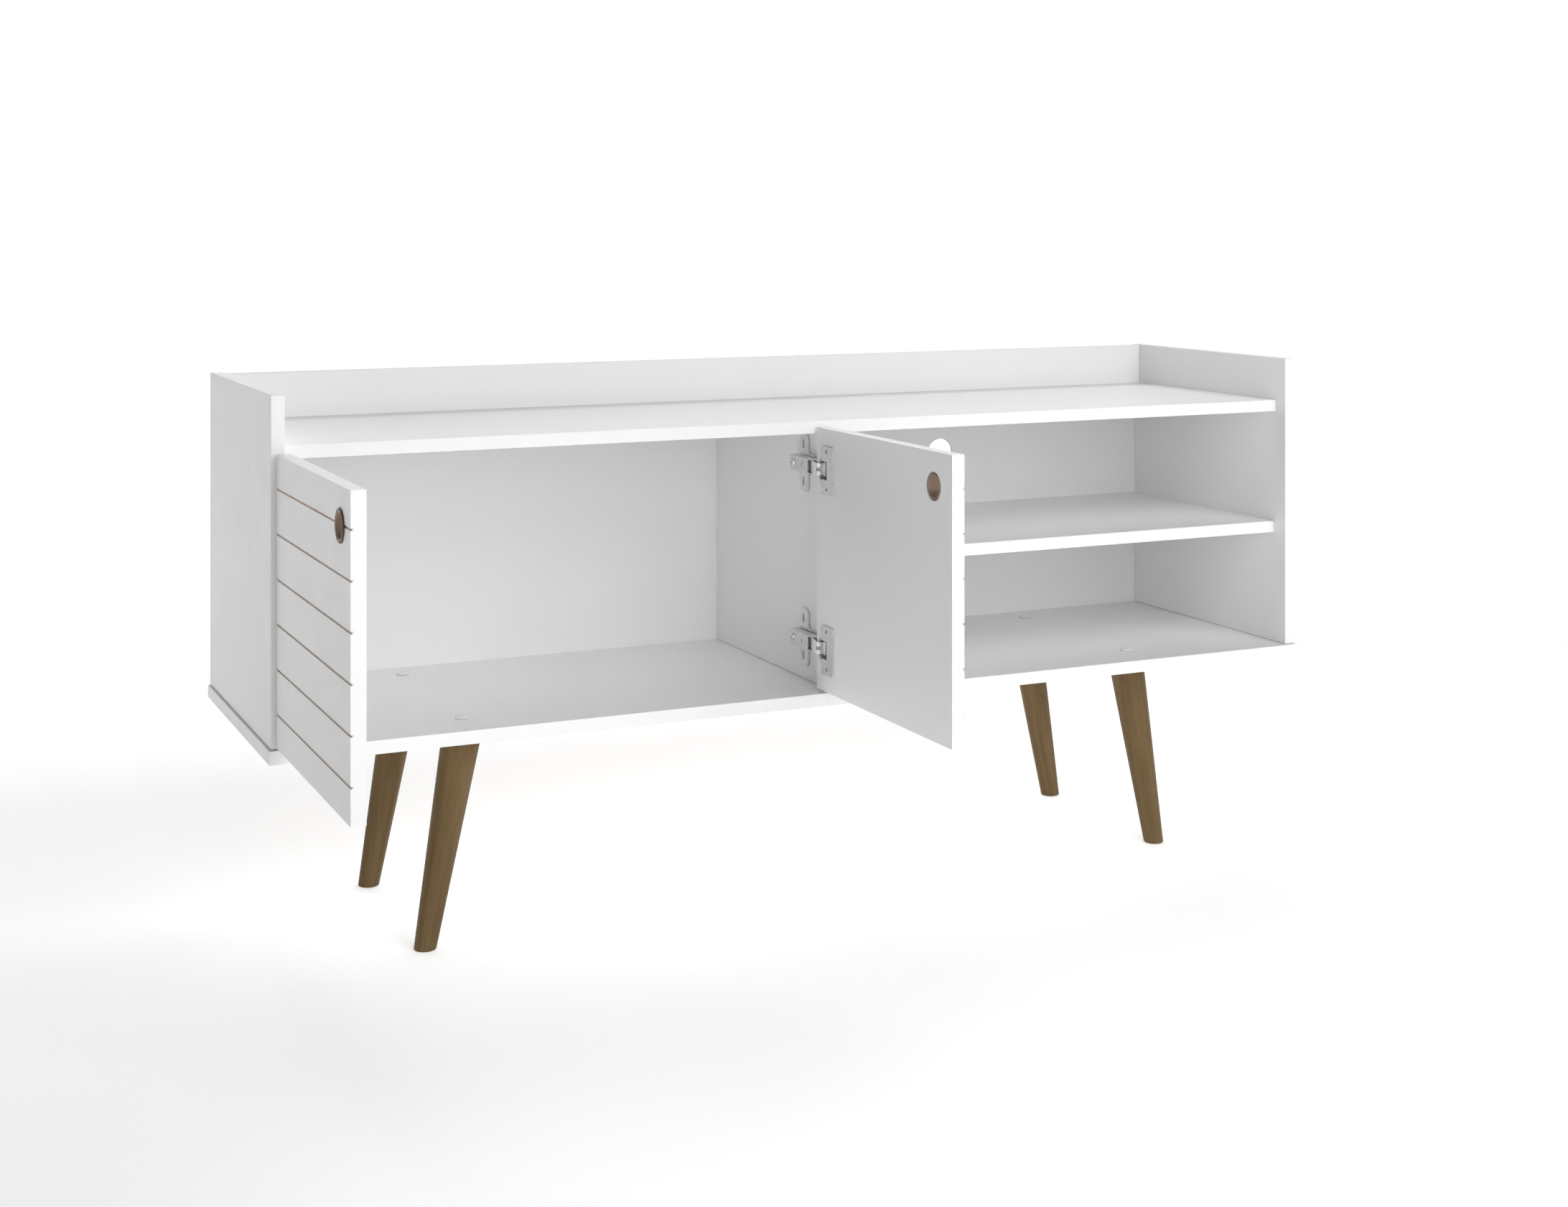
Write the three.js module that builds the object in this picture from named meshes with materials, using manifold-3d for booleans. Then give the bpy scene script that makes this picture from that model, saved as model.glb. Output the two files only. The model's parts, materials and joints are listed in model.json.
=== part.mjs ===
// A low television stand on four splayed legs, in millimetres with +Z up.
// The cabinet has a closed bay on its left behind two grooved doors, an open bay with a shelf on its
// right, and a tray-like top between its raised sides and back board. Both doors stand open at a right
// angle, on concealed cup hinges.
// The origin is on the floor, at the middle of the whole outline with the doors open.
import * as THREE from "three";
import { mergeVertices } from "three/addons/utils/BufferGeometryUtils.js";
import Module from "manifold-3d";

const wasm = await Module();
wasm.setup();

// ---------------------------------------------------------------- driving dimensions
const boardThickness = 15;
const thinBack = { thickness: 3, inset: 0.5, rebate: 8 };
const jointGap = 0.3;
// How far a cutter runs past the face it cuts, and a joined solid into its neighbour.
const past = 1;
// How many flat sides stand for a circle, by what is round.
const sides = { peg: 8, pin: 10, screw: 12, hinge: 16, cap: 20, leg: 28, disc: 32 };

const cabinetWidth = 1345;
const cabinetDepth = 353.5;
const baseSideOverhang = 2.5;
const baseFrontOverhang = 4.5;
const legHeight = 239.5;
const sideHeight = 377;
const topShelfUnderside = 560.5;
const topShelfSetback = 19.5;
const middleShelfUnderside = 399.5;
const middleShelfSetback = 23.5;
const dividerSetback = 21.5;
const backBoard = { front: 336.5, drop: 1, housing: 2 };
const cableHoleRadius = 19.2;

const leg = { topRadius: 22.3, footRadius: 12.5, splay: 42.5, topX: 446.4, front: 57.5, rear: 311.5 };

const doorHeight = 311.5;
const doorFloorGap = 3;
const groove = { count: 6, pitch: 47.75, width: 2.5, depth: 1.5 };
const pull = { fromFreeEdge: 40, aboveMiddle: 118, tube: 15.3, bore: 12.3 };
const pullRim = { base: 16.9, crown: 15, proud: 1.6 };

// Each door when open: its width, the inner face's X and the hinge edge's Y.
const leftDoor = { width: 325, innerX: -652.5, edgeY: -5 };
const rightDoor = { width: 327.5, innerX: -22.3, edgeY: 13.8 };

// ---------------------------------------------------------------- places worked out from them
const halfWidth = cabinetWidth / 2;
const sideInner = halfWidth - boardThickness;
const dividerHalf = boardThickness / 2;
const baseTop = legHeight + boardThickness;
const sideTop = baseTop + sideHeight;
const topShelfTop = topShelfUnderside + boardThickness;
const middleShelfTop = middleShelfUnderside + boardThickness;
const thinBackFront = cabinetDepth - thinBack.inset - thinBack.thickness;
const thinBackRear = cabinetDepth - thinBack.inset;
const doorMiddle = baseTop + doorFloorGap + doorHeight / 2;
const originShift = -(leftDoor.edgeY - leftDoor.width + cabinetDepth) / 2;

// ---------------------------------------------------------------- materials
const finish = (color, roughness, metalness = 0) =>
  new THREE.MeshStandardMaterial({ color, roughness, metalness });
const white = finish(0xf2f2f0, 0.55);
const thinWhite = finish(0xe9e9e6, 0.6);
const walnut = finish(0x6e563c, 0.5);
const bronze = finish(0x5a4530, 0.4, 0.3);
const steel = finish(0x9a9a98, 0.35, 0.9);
const brightSteel = finish(0xd8d8d6, 0.25, 1);
const darkSteel = finish(0x6a6a6a, 0.4, 0.9);
const beech = finish(0xcaa878, 0.7);
const plastic = finish(0xf6f6f4, 0.4);

// ---------------------------------------------------------------- solids
function toSolid(geometry) {
  const bare = geometry.clone();
  bare.deleteAttribute("normal");
  bare.deleteAttribute("uv");
  const merged = mergeVertices(bare, 1e-4);
  return new wasm.Manifold(
    new wasm.Mesh({
      numProp: 3,
      vertProperties: new Float32Array(merged.attributes.position.array),
      triVerts: new Uint32Array(merged.index.array),
    }),
  );
}

function toGeometry(solid) {
  const mesh = solid.getMesh();
  const geometry = new THREE.BufferGeometry();
  geometry.setAttribute("position", new THREE.BufferAttribute(mesh.vertProperties, 3));
  geometry.setIndex(new THREE.BufferAttribute(mesh.triVerts, 1));
  const flat = geometry.toNonIndexed();
  flat.computeVertexNormals();
  return flat;
}

// A box between its lowest and highest corners.
function block(low, high) {
  const size = high.map((value, i) => value - low[i]);
  const middle = high.map((value, i) => (value + low[i]) / 2);
  return toSolid(new THREE.BoxGeometry(...size).translate(...middle));
}

// A round bar along X, Y or Z between two stations, at the given place across, that can taper.
function bar(axis, radius, from, to, across, sideCount, endRadius = radius) {
  const geometry = new THREE.CylinderGeometry(endRadius, radius, to - from, sideCount);
  const middle = (from + to) / 2;
  const [a, b] = across;
  if (axis === "x") {
    geometry.rotateZ(-Math.PI / 2).translate(middle, a, b);
  } else if (axis === "y") {
    geometry.translate(a, middle, b);
  } else {
    geometry.rotateX(Math.PI / 2).translate(a, b, middle);
  }
  return toSolid(geometry);
}

// A closed outline in X and Y, raised along Z between two heights.
function raised(shape, from, to) {
  const settings = { depth: to - from, bevelEnabled: false, curveSegments: 6 };
  return toSolid(new THREE.ExtrudeGeometry(shape, settings).translate(0, 0, from));
}

// The same outline, with its X and Y laid in the Y and Z of the model, thick along X.
function laid(shape, from, to) {
  const settings = { depth: to - from, bevelEnabled: false, curveSegments: 6 };
  const geometry = new THREE.ExtrudeGeometry(shape, settings).translate(0, 0, from);
  return toSolid(geometry.rotateZ(Math.PI / 2).rotateY(Math.PI / 2));
}

// A rectangle with round corners, from its lowest and highest corners.
function roundedOutline(left, bottom, right, top, radius) {
  const shape = new THREE.Shape();
  const quarter = Math.PI / 2;
  shape.absarc(right - radius, bottom + radius, radius, -quarter, 0);
  shape.absarc(right - radius, top - radius, radius, 0, quarter);
  shape.absarc(left + radius, top - radius, radius, quarter, 2 * quarter);
  shape.absarc(left + radius, bottom + radius, radius, 2 * quarter, 3 * quarter);
  shape.closePath();
  return shape;
}

const joinAll = (solids) => solids.reduce((whole, next) => whole.add(next));
const cutAll = (solid, cutters) => cutters.reduce((whole, next) => whole.subtract(next), solid);

const model = new THREE.Group();
const cabinet = new THREE.Group();
cabinet.position.y = originShift;
model.add(cabinet);

function addPiece(group, name, solid, material) {
  const mesh = new THREE.Mesh(toGeometry(solid), material);
  mesh.name = name;
  group.add(mesh);
}

// ---------------------------------------------------------------- screws and dowels of the carcass
const baseScrew = { shank: 3.3, hole: 3.7, head: 5, headHeight: 3, reach: 36 };
const screwColumns = { left: dividerHalf - halfWidth, middle: 0, right: halfWidth - dividerHalf };
const screwRows = { front: 62, rear: 300 };

const dowel = { radius: 4, hole: 4.3, inSide: 9.2, inShelf: 20, endRoom: 0.5 };
const dowelRows = { front: 75, rear: 285 };
const topDowelZ = topShelfUnderside + boardThickness / 2;
const middleDowelZ = middleShelfUnderside + boardThickness / 2;

function baseScrewAt(x, y) {
  const top = baseTop + baseScrew.reach;
  const neck = legHeight + baseScrew.headHeight;
  const shank = bar("z", baseScrew.shank, legHeight + past, top, [x, y], sides.screw);
  return shank.add(bar("z", baseScrew.head, legHeight, neck, [x, y], sides.screw, baseScrew.shank));
}

function baseScrewHole(x, y) {
  const top = baseTop + baseScrew.reach + jointGap;
  const sink = legHeight + baseScrew.headHeight + jointGap;
  const mouth = baseScrew.head + jointGap;
  const bore = bar("z", baseScrew.hole, legHeight - past, top, [x, y], sides.screw);
  return bore.add(bar("z", mouth, legHeight - jointGap, sink, [x, y], sides.screw, baseScrew.hole));
}

const holesInColumn = (x) => Object.values(screwRows).map((y) => baseScrewHole(x, y));

// A dowel across a joint at jointX, where the shelf lies on the side that shelfSign points to.
function dowelAt(jointX, shelfSign, y, z, radius = dowel.radius, room = 0) {
  const ends = [jointX - shelfSign * (dowel.inSide + room), jointX + shelfSign * (dowel.inShelf + room)];
  return bar("x", radius, Math.min(...ends), Math.max(...ends), [y, z], sides.screw);
}

const dowelHoles = (jointX, shelfSign, z) =>
  Object.values(dowelRows).map((y) => dowelAt(jointX, shelfSign, y, z, dowel.hole, dowel.endRoom));

function addCarcassFasteners() {
  for (const [column, x] of Object.entries(screwColumns)) {
    for (const [row, y] of Object.entries(screwRows)) {
      addPiece(cabinet, `base_screw_${column}_${row}`, baseScrewAt(x, y), steel);
    }
  }
  const joints = {
    top_shelf_dowel_left: [-sideInner, 1, topDowelZ],
    top_shelf_dowel_right: [sideInner, -1, topDowelZ],
    middle_shelf_dowel_left: [dividerHalf, 1, middleDowelZ],
    middle_shelf_dowel_right: [sideInner, -1, middleDowelZ],
  };
  for (const [name, [jointX, shelfSign, z]] of Object.entries(joints)) {
    for (const [row, y] of Object.entries(dowelRows)) {
      addPiece(cabinet, `${name}_${row}`, dowelAt(jointX, shelfSign, y, z), beech);
    }
  }
}

// ---------------------------------------------------------------- legs, their bolts and caps
const legBolt = { shank: 3.9, hole: 4.3, head: 6.5, headSides: 6, headHeight: 4.5, reach: 40 };
const boltSeat = { radius: 7.2, depth: 5.5 };
const boltCap = { radius: 7.6, dome: 5.2, height: 2.8 };
const legPlaces = [
  ["front_left", -1, leg.front],
  ["front_right", 1, leg.front],
  ["rear_left", -1, leg.rear],
  ["rear_right", 1, leg.rear],
];

// A turned taper, leaning outward, cut level at the floor and under the base.
function legSolid(side, y) {
  const spare = 12;
  const footX = side * (leg.topX + leg.splay);
  const topX = side * leg.topX;
  const lean = new THREE.Vector3(topX - footX, 0, legHeight);
  const taper = (leg.topRadius - leg.footRadius) / legHeight;
  const low = leg.footRadius - taper * spare;
  const high = leg.topRadius + taper * spare;
  const length = lean.length() * (1 + (2 * spare) / legHeight);
  const cone = new THREE.CylinderGeometry(high, low, length, sides.leg);
  const turn = new THREE.Quaternion().setFromUnitVectors(new THREE.Vector3(0, 1, 0), lean.normalize());
  cone.applyQuaternion(turn).translate((footX + topX) / 2, y, legHeight / 2);
  const reach = 3 * leg.topRadius;
  const slab = block(
    [Math.min(footX, topX) - reach, y - reach, 0],
    [Math.max(footX, topX) + reach, y + reach, legHeight - jointGap],
  );
  return toSolid(cone).intersect(slab);
}

const legBoltHole = (x, y) =>
  bar("z", legBolt.hole, legHeight - legBolt.reach - jointGap, baseTop + past, [x, y], sides.hinge);

function boltSeatHole(x, y) {
  return bar("z", boltSeat.radius, baseTop - boltSeat.depth, baseTop + past, [x, y], sides.cap);
}

function addLegs() {
  for (const [place, side, y] of legPlaces) {
    const x = side * leg.topX;
    addPiece(cabinet, `leg_${place}`, legSolid(side, y).subtract(legBoltHole(x, y)), walnut);
    const headLow = baseTop - boltSeat.depth + jointGap;
    const headTop = headLow + legBolt.headHeight;
    const head = bar("z", legBolt.head, headLow, headTop, [x, y], legBolt.headSides);
    const shankLow = legHeight - legBolt.reach;
    const shank = bar("z", legBolt.shank, shankLow, headLow + past, [x, y], sides.screw);
    addPiece(cabinet, `leg_bolt_${place}`, head.add(shank), steel);
    const capLow = baseTop + jointGap;
    const waist = capLow + boltCap.height / 2;
    const crown = capLow + boltCap.height;
    const rim = bar("z", boltCap.radius, capLow, waist, [x, y], sides.cap);
    const dome = bar("z", boltCap.radius, waist, crown, [x, y], sides.cap, boltCap.dome);
    addPiece(cabinet, `bolt_cap_${place}`, rim.add(dome), plastic);
  }
}

// ---------------------------------------------------------------- carcass boards
// The rear edges that the thin back panels are let into.
function backRebate() {
  const reach = sideInner + thinBack.rebate;
  const top = topShelfUnderside + thinBack.rebate;
  return block(
    [-reach, thinBackFront - jointGap, baseTop - thinBack.rebate],
    [reach, cabinetDepth + past, top],
  );
}

function addThinBacks() {
  const reach = sideInner + thinBack.rebate - jointGap;
  const low = baseTop - thinBack.rebate + jointGap;
  const high = topShelfUnderside + thinBack.rebate - jointGap;
  const leftBack = block([-reach, thinBackFront, low], [-jointGap / 2, thinBackRear, high]);
  addPiece(cabinet, "left_back_panel", leftBack, thinWhite);

  const rightBack = block([jointGap / 2, thinBackFront, low], [reach, thinBackRear, high]);
  const hole = [(dividerHalf + sideInner) / 2, (middleShelfTop + topShelfUnderside) / 2];
  const front = thinBackFront - past;
  const cableHole = bar("y", cableHoleRadius, front, cabinetDepth + past, hole, sides.disc);
  addPiece(cabinet, "right_back_panel", rightBack.subtract(cableHole), thinWhite);
}

function addCarcass() {
  const deck = baseTop + jointGap;
  const ceiling = topShelfUnderside - jointGap;
  const shelfEnd = sideInner - jointGap;
  const backReach = thinBackFront - jointGap;
  const rebate = backRebate();

  const baseHoles = legPlaces.flatMap(([, side, y]) => [
    legBoltHole(side * leg.topX, y),
    boltSeatHole(side * leg.topX, y),
  ]);
  const base = block(
    [-halfWidth - baseSideOverhang, -baseFrontOverhang, legHeight],
    [halfWidth + baseSideOverhang, cabinetDepth, baseTop],
  );
  const columns = Object.values(screwColumns).flatMap(holesInColumn);
  addPiece(cabinet, "base_panel", cutAll(base, [rebate, ...baseHoles, ...columns]), white);

  const leftSide = block([-halfWidth, 0, deck], [-sideInner, cabinetDepth, sideTop]);
  const leftHoles = [...holesInColumn(screwColumns.left), ...dowelHoles(-sideInner, 1, topDowelZ)];
  addPiece(cabinet, "left_side_panel", cutAll(leftSide, [rebate, ...leftHoles]), white);

  const rightSide = block([sideInner, 0, deck], [halfWidth, cabinetDepth, sideTop]);
  const rightHoles = [
    ...holesInColumn(screwColumns.right),
    ...dowelHoles(sideInner, -1, topDowelZ),
    ...dowelHoles(sideInner, -1, middleDowelZ),
  ];
  addPiece(cabinet, "right_side_panel", cutAll(rightSide, [rebate, ...rightHoles]), white);

  const divider = block([-dividerHalf, dividerSetback, deck], [dividerHalf, backReach, ceiling]);
  const dividerHoles = [...holesInColumn(0), ...dowelHoles(dividerHalf, 1, middleDowelZ)];
  addPiece(cabinet, "divider_panel", cutAll(divider, dividerHoles), white);

  const topShelf = block(
    [-shelfEnd, topShelfSetback, topShelfUnderside],
    [shelfEnd, cabinetDepth, topShelfTop],
  );
  const topHoles = [...dowelHoles(-sideInner, 1, topDowelZ), ...dowelHoles(sideInner, -1, topDowelZ)];
  const housing = block(
    [-halfWidth, backBoard.front - jointGap, topShelfTop - backBoard.housing],
    [halfWidth, cabinetDepth + past, topShelfTop + past],
  );
  addPiece(cabinet, "top_shelf", cutAll(topShelf, [rebate, housing, ...topHoles]), white);

  const middleShelf = block(
    [dividerHalf + jointGap, middleShelfSetback, middleShelfUnderside],
    [shelfEnd, backReach, middleShelfTop],
  );
  const middleHoles = [
    ...dowelHoles(dividerHalf, 1, middleDowelZ),
    ...dowelHoles(sideInner, -1, middleDowelZ),
  ];
  addPiece(cabinet, "middle_shelf", cutAll(middleShelf, middleHoles), white);

  const gallery = block(
    [-shelfEnd, backBoard.front, topShelfTop - backBoard.housing + jointGap],
    [shelfEnd, backBoard.front + boardThickness, sideTop - backBoard.drop],
  );
  addPiece(cabinet, "gallery_back_board", gallery, white);
}

// ---------------------------------------------------------------- concealed hinges
// Hinge pieces on the carcass are drawn with X measured away from the board they are fixed to and Y
// from the web's front end. Door pieces are drawn with X measured out of the door's inner face and Y
// from its hinge edge, so the board of the door has negative X and negative Y. The right door and its
// hinges are the mirror image.
const hingeOffset = 106.25;
const hingeHeights = { upper: doorMiddle + hingeOffset, lower: doorMiddle - hingeOffset };

const wing = { front: 26, rear: 48, halfHeight: 35, corner: 7, fillet: 5, low: 0.3, high: 2.4 };
const wingSlot = { y: 39, halfWidth: 2.4, spread: 22.6, halfLength: 5.5, corner: 2.3 };
const strip = { front: -6, rear: 50, halfHeight: 12, corner: 4 };
const ridge = { front: 24, rear: 50, halfHeight: 6.8, high: 11.8 };
const arm = { rear: 53, low: 4.4, webFront: 16.2, webRear: 13.6, wall: 1.3, halfHeight: 9, ear: 11 };
const armEar = { heel: 3, nose: 4, noseRise: 6, shoulder: 1 };
const armEnd = { drop: 3 };
const fixingScrew = { y: 44, head: 4.8, headHeight: 2.2, lift: 0.4, shank: 2.6, tip: 4.4, hole: 3 };
const adjusterHole = { y: 16.5, radius: 3.3 };

const cup = { centre: 23.5, radius: 17.3, wall: 0.8, depth: 11.2, drill: 17.6, drillDepth: 11.8 };
const lip = { radius: 18.7, thickness: 0.8 };
const flange = { near: 15.5, far: 44.5, halfHeight: 28.75, thickness: 1.5, corner: 2 };
const flangeMouth = { near: 12, far: 29.8, halfHeight: 11 };
const linkRelief = { near: 3, far: 10.5, halfHeight: 7.9, floor: 0.1 };
const flangeScrewHole = { p: 29, spread: 22.3, radius: 2.2, pilot: 1.5, pilotDepth: 9 };
const faceGap = 0.25;

const link = { p: 11.5, q: 5.5, rise: 10, reach: 39, thickness: 1.6, bend: 3, halfHeight: 7.2 };
const linkPin = { barrel: 2.4, radius: 1.2, halfLength: 9.2 };
const linkSlot = { low: 6, near: -2, far: 9, halfHeight: 2.2 };

// The rounded inner corner between a wing's front edge and the strip, above or below the middle.
function wingFillet(end) {
  const centre = wing.front - wing.fillet;
  const bottom = strip.halfHeight - past;
  const shape = new THREE.Shape();
  shape.moveTo(centre, strip.halfHeight);
  shape.lineTo(centre, bottom);
  shape.lineTo(wing.front + past, bottom);
  shape.lineTo(wing.front + past, strip.halfHeight + wing.fillet);
  shape.lineTo(wing.front, strip.halfHeight + wing.fillet);
  shape.absarc(centre, strip.halfHeight + wing.fillet, wing.fillet, 0, -Math.PI / 2, true);
  shape.closePath();
  const solid = laid(shape, wing.low, wing.high);
  return end < 0 ? solid.mirror([0, 0, 1]) : solid;
}

function mountingPlateSolid() {
  const outline = roundedOutline(wing.front, -wing.halfHeight, wing.rear, wing.halfHeight, wing.corner);
  const foot = roundedOutline(strip.front, -strip.halfHeight, strip.rear, strip.halfHeight, strip.corner);
  const body = joinAll([
    laid(outline, wing.low, wing.high),
    laid(foot, wing.low, wing.high),
    wingFillet(-1),
    wingFillet(1),
    block([wing.low, ridge.front, -ridge.halfHeight], [ridge.high, ridge.rear, ridge.halfHeight]),
  ]);
  const slots = [-1, 1].map((end) => {
    const middle = end * wingSlot.spread;
    const left = wingSlot.y - wingSlot.halfWidth;
    const right = wingSlot.y + wingSlot.halfWidth;
    const low = middle - wingSlot.halfLength;
    const high = middle + wingSlot.halfLength;
    return laid(roundedOutline(left, low, right, high, wingSlot.corner), -past, wing.high + past);
  });
  const place = [fixingScrew.y, 0];
  const thread = bar("x", fixingScrew.hole, wing.high + past, ridge.high + past, place, sides.screw);
  return cutAll(body, [...slots, thread]);
}

function fixingScrewSolid() {
  const place = [fixingScrew.y, 0];
  const seat = webHeightAt(fixingScrew.y) + fixingScrew.lift;
  const head = bar("x", fixingScrew.head, seat, seat + fixingScrew.headHeight, place, sides.hinge);
  const shank = bar("x", fixingScrew.shank, fixingScrew.tip, seat + past, place, sides.screw);
  return head.add(shank);
}

// The web slopes down towards its rear end.
const webHeightAt = (y) => arm.webFront + ((arm.webRear - arm.webFront) * y) / arm.rear;

// A channel that opens towards the board, with its two side walls carried forward as ears.
function armSolid() {
  const side = new THREE.Shape();
  const { heel, nose, noseRise, shoulder } = armEar;
  side.moveTo(arm.low, arm.rear);
  side.lineTo(arm.low, heel - arm.ear);
  side.absarc(arm.low + heel, heel - arm.ear, heel, Math.PI, 1.5 * Math.PI);
  side.absarc(arm.low + noseRise, nose - arm.ear, nose, -Math.PI / 2, 0);
  side.lineTo(arm.webFront - shoulder, 0);
  side.lineTo(arm.webFront, 0);
  side.lineTo(arm.webRear, arm.rear);
  side.closePath();
  const top = arm.webFront + past;
  const bottom = arm.low - past;
  const hollow = new THREE.Shape();
  hollow.moveTo(bottom, arm.rear + past);
  hollow.lineTo(bottom, -arm.ear - past);
  hollow.lineTo(top, -arm.ear - past);
  hollow.lineTo(top, 0);
  hollow.lineTo(arm.webFront - arm.wall, 0);
  hollow.lineTo(webHeightAt(arm.rear + past) - arm.wall, arm.rear + past);
  hollow.closePath();
  const inside = arm.halfHeight - arm.wall;
  const seat = bar("x", fixingScrew.hole, arm.low, top, [fixingScrew.y, 0], sides.screw);
  const open = block(
    [arm.webRear - armEnd.drop, fixingScrew.y, -fixingScrew.hole],
    [top, arm.rear + past, fixingScrew.hole],
  );
  const adjuster = bar("x", adjusterHole.radius, arm.low, top, [adjusterHole.y, 0], sides.screw);
  return cutAll(raised(side, -arm.halfHeight, arm.halfHeight), [
    raised(hollow, -inside, inside),
    seat,
    open,
    adjuster,
  ]);
}

function cupSolid() {
  const centre = [-cup.centre, 0];
  const inner = cup.radius - cup.wall;
  const floorX = -cup.depth + cup.wall;
  const plateOutline = roundedOutline(
    -flange.far,
    -flange.halfHeight,
    -flange.near,
    flange.halfHeight,
    flange.corner,
  );
  const lipTop = faceGap + lip.thickness;
  const flangeTop = faceGap + flange.thickness;
  const outer = joinAll([
    bar("x", cup.radius, -cup.depth, lipTop, centre, sides.disc),
    bar("x", lip.radius, faceGap, lipTop, centre, sides.disc),
  ]);
  const relief = block(
    [linkRelief.floor, -linkRelief.far, -linkRelief.halfHeight],
    [flangeTop + past, -linkRelief.near, linkRelief.halfHeight],
  );
  const well = bar("x", inner, floorX, lipTop + past, centre, sides.disc);
  const mouth = block(
    [0, -flangeMouth.far, -flangeMouth.halfHeight],
    [flangeTop + past, -flangeMouth.near, flangeMouth.halfHeight],
  );
  const screwHoles = [-1, 1].map((end) => {
    const place = [-flangeScrewHole.p, end * flangeScrewHole.spread];
    return bar("x", flangeScrewHole.radius, -past, flangeTop + past, place, sides.screw);
  });
  const plate = laid(plateOutline, faceGap, flangeTop);
  return cutAll(outer.subtract(well).add(cutAll(plate, [mouth])), [relief, ...screwHoles]);
}

// The bent link, drawn from its cup pin: a short rise out of the cup, then a long run into the arm. Its
// slot goes round the outside of the bend.
function linkSolid() {
  const half = link.thickness / 2;
  const shape = new THREE.Shape();
  shape.moveTo(0, -half);
  shape.absarc(link.rise + half - link.bend, link.bend - half, link.bend, -Math.PI / 2, 0);
  shape.absarc(link.rise, link.reach, half, 0, Math.PI);
  const inner = link.bend - link.thickness;
  shape.absarc(link.rise + half - link.bend, link.bend - half, inner, 0, -Math.PI / 2, true);
  shape.lineTo(0, half);
  shape.closePath();
  const body = joinAll([
    raised(shape, -link.halfHeight, link.halfHeight),
    bar("z", linkPin.barrel, -link.halfHeight, link.halfHeight, [0, 0], sides.screw),
    bar("z", linkPin.radius, -linkPin.halfLength, linkPin.halfLength, [0, 0], sides.pin),
  ]);
  const slot = block(
    [linkSlot.low, linkSlot.near, -linkSlot.halfHeight],
    [link.rise + half + past, linkSlot.far, linkSlot.halfHeight],
  );
  return body.subtract(slot);
}

// ---------------------------------------------------------------- doors
function doorSolid(width) {
  const low = -doorHeight / 2;
  const board = block([-boardThickness, -width, low], [0, 0, -low]);
  const grooves = Array.from({ length: groove.count }, (_, i) => {
    const z = (i - (groove.count - 1) / 2) * groove.pitch;
    return block(
      [-boardThickness - past, -width - past, z - groove.width / 2],
      [groove.depth - boardThickness, past, z + groove.width / 2],
    );
  });
  const cups = [-hingeOffset, hingeOffset].map((z) =>
    bar("x", cup.drill, -cup.drillDepth, past, [-cup.centre, z], sides.disc),
  );
  const pilots = [-hingeOffset, hingeOffset].flatMap((z) =>
    [-1, 1].map((end) => {
      const place = [-flangeScrewHole.p, z + end * flangeScrewHole.spread];
      return bar("x", flangeScrewHole.pilot, -flangeScrewHole.pilotDepth, past, place, sides.peg);
    }),
  );
  const place = [pull.fromFreeEdge - width, pull.aboveMiddle];
  const pullHole = bar("x", pull.tube + jointGap, -boardThickness - past, past, place, sides.disc);
  return cutAll(board, [...grooves, ...cups, ...pilots, pullHole]);
}

// A bush through the door with a proud, tapered rim on its outer face.
function pullSolid(width) {
  const place = [pull.fromFreeEdge - width, pull.aboveMiddle];
  const outerFace = -boardThickness - faceGap;
  const rimFace = outerFace - pullRim.proud;
  return joinAll([
    bar("x", pull.tube, outerFace - past, jointGap, place, sides.disc),
    bar("x", pullRim.crown, rimFace, outerFace, place, sides.disc, pullRim.base),
  ]).subtract(bar("x", pull.bore, rimFace - past, jointGap + past, place, sides.disc));
}

// Opening angles between each link and its place square to the door, with the door as drawn.
const leftSet = { mirror: 1, boardFace: -sideInner, webFront: 32, linkAngle: 6 };
const rightSet = { mirror: -1, boardFace: -dividerHalf, webFront: 38, linkAngle: 14 };

function addDoor(name, door, set) {
  const leaf = new THREE.Group();
  leaf.position.set(door.innerX, door.edgeY, doorMiddle);
  leaf.scale.x = set.mirror;
  cabinet.add(leaf);
  addPiece(leaf, `${name}_door_panel`, doorSolid(door.width), white);
  addPiece(leaf, `${name}_door_pull_ring`, pullSolid(door.width), bronze);
  for (const [level, height] of Object.entries(hingeHeights)) {
    const cupGroup = new THREE.Group();
    cupGroup.position.z = height - doorMiddle;
    leaf.add(cupGroup);
    addPiece(cupGroup, `${name}_${level}_hinge_cup`, cupSolid(), steel);
    const linkGroup = new THREE.Group();
    linkGroup.position.set(-link.q, -link.p, 0);
    linkGroup.rotation.z = THREE.MathUtils.degToRad(set.linkAngle);
    cupGroup.add(linkGroup);
    addPiece(linkGroup, `${name}_${level}_hinge_link`, linkSolid(), brightSteel);

    const mounting = new THREE.Group();
    mounting.position.set(set.boardFace, set.webFront, height);
    mounting.scale.x = set.mirror;
    cabinet.add(mounting);
    addPiece(mounting, `${name}_${level}_hinge_plate`, mountingPlateSolid(), steel);
    addPiece(mounting, `${name}_${level}_hinge_arm`, armSolid(), steel);
    addPiece(mounting, `${name}_${level}_hinge_screw`, fixingScrewSolid(), darkSteel);
  }
}

addCarcass();
addThinBacks();
addCarcassFasteners();
addLegs();
addDoor("left", leftDoor, leftSet);
addDoor("right", rightDoor, rightSet);

export default model;
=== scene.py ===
"""The looks of a low television stand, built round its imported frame. Lengths are in metres."""

import json
import math

import bmesh
import bpy
from mathutils import Matrix, Vector


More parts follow.
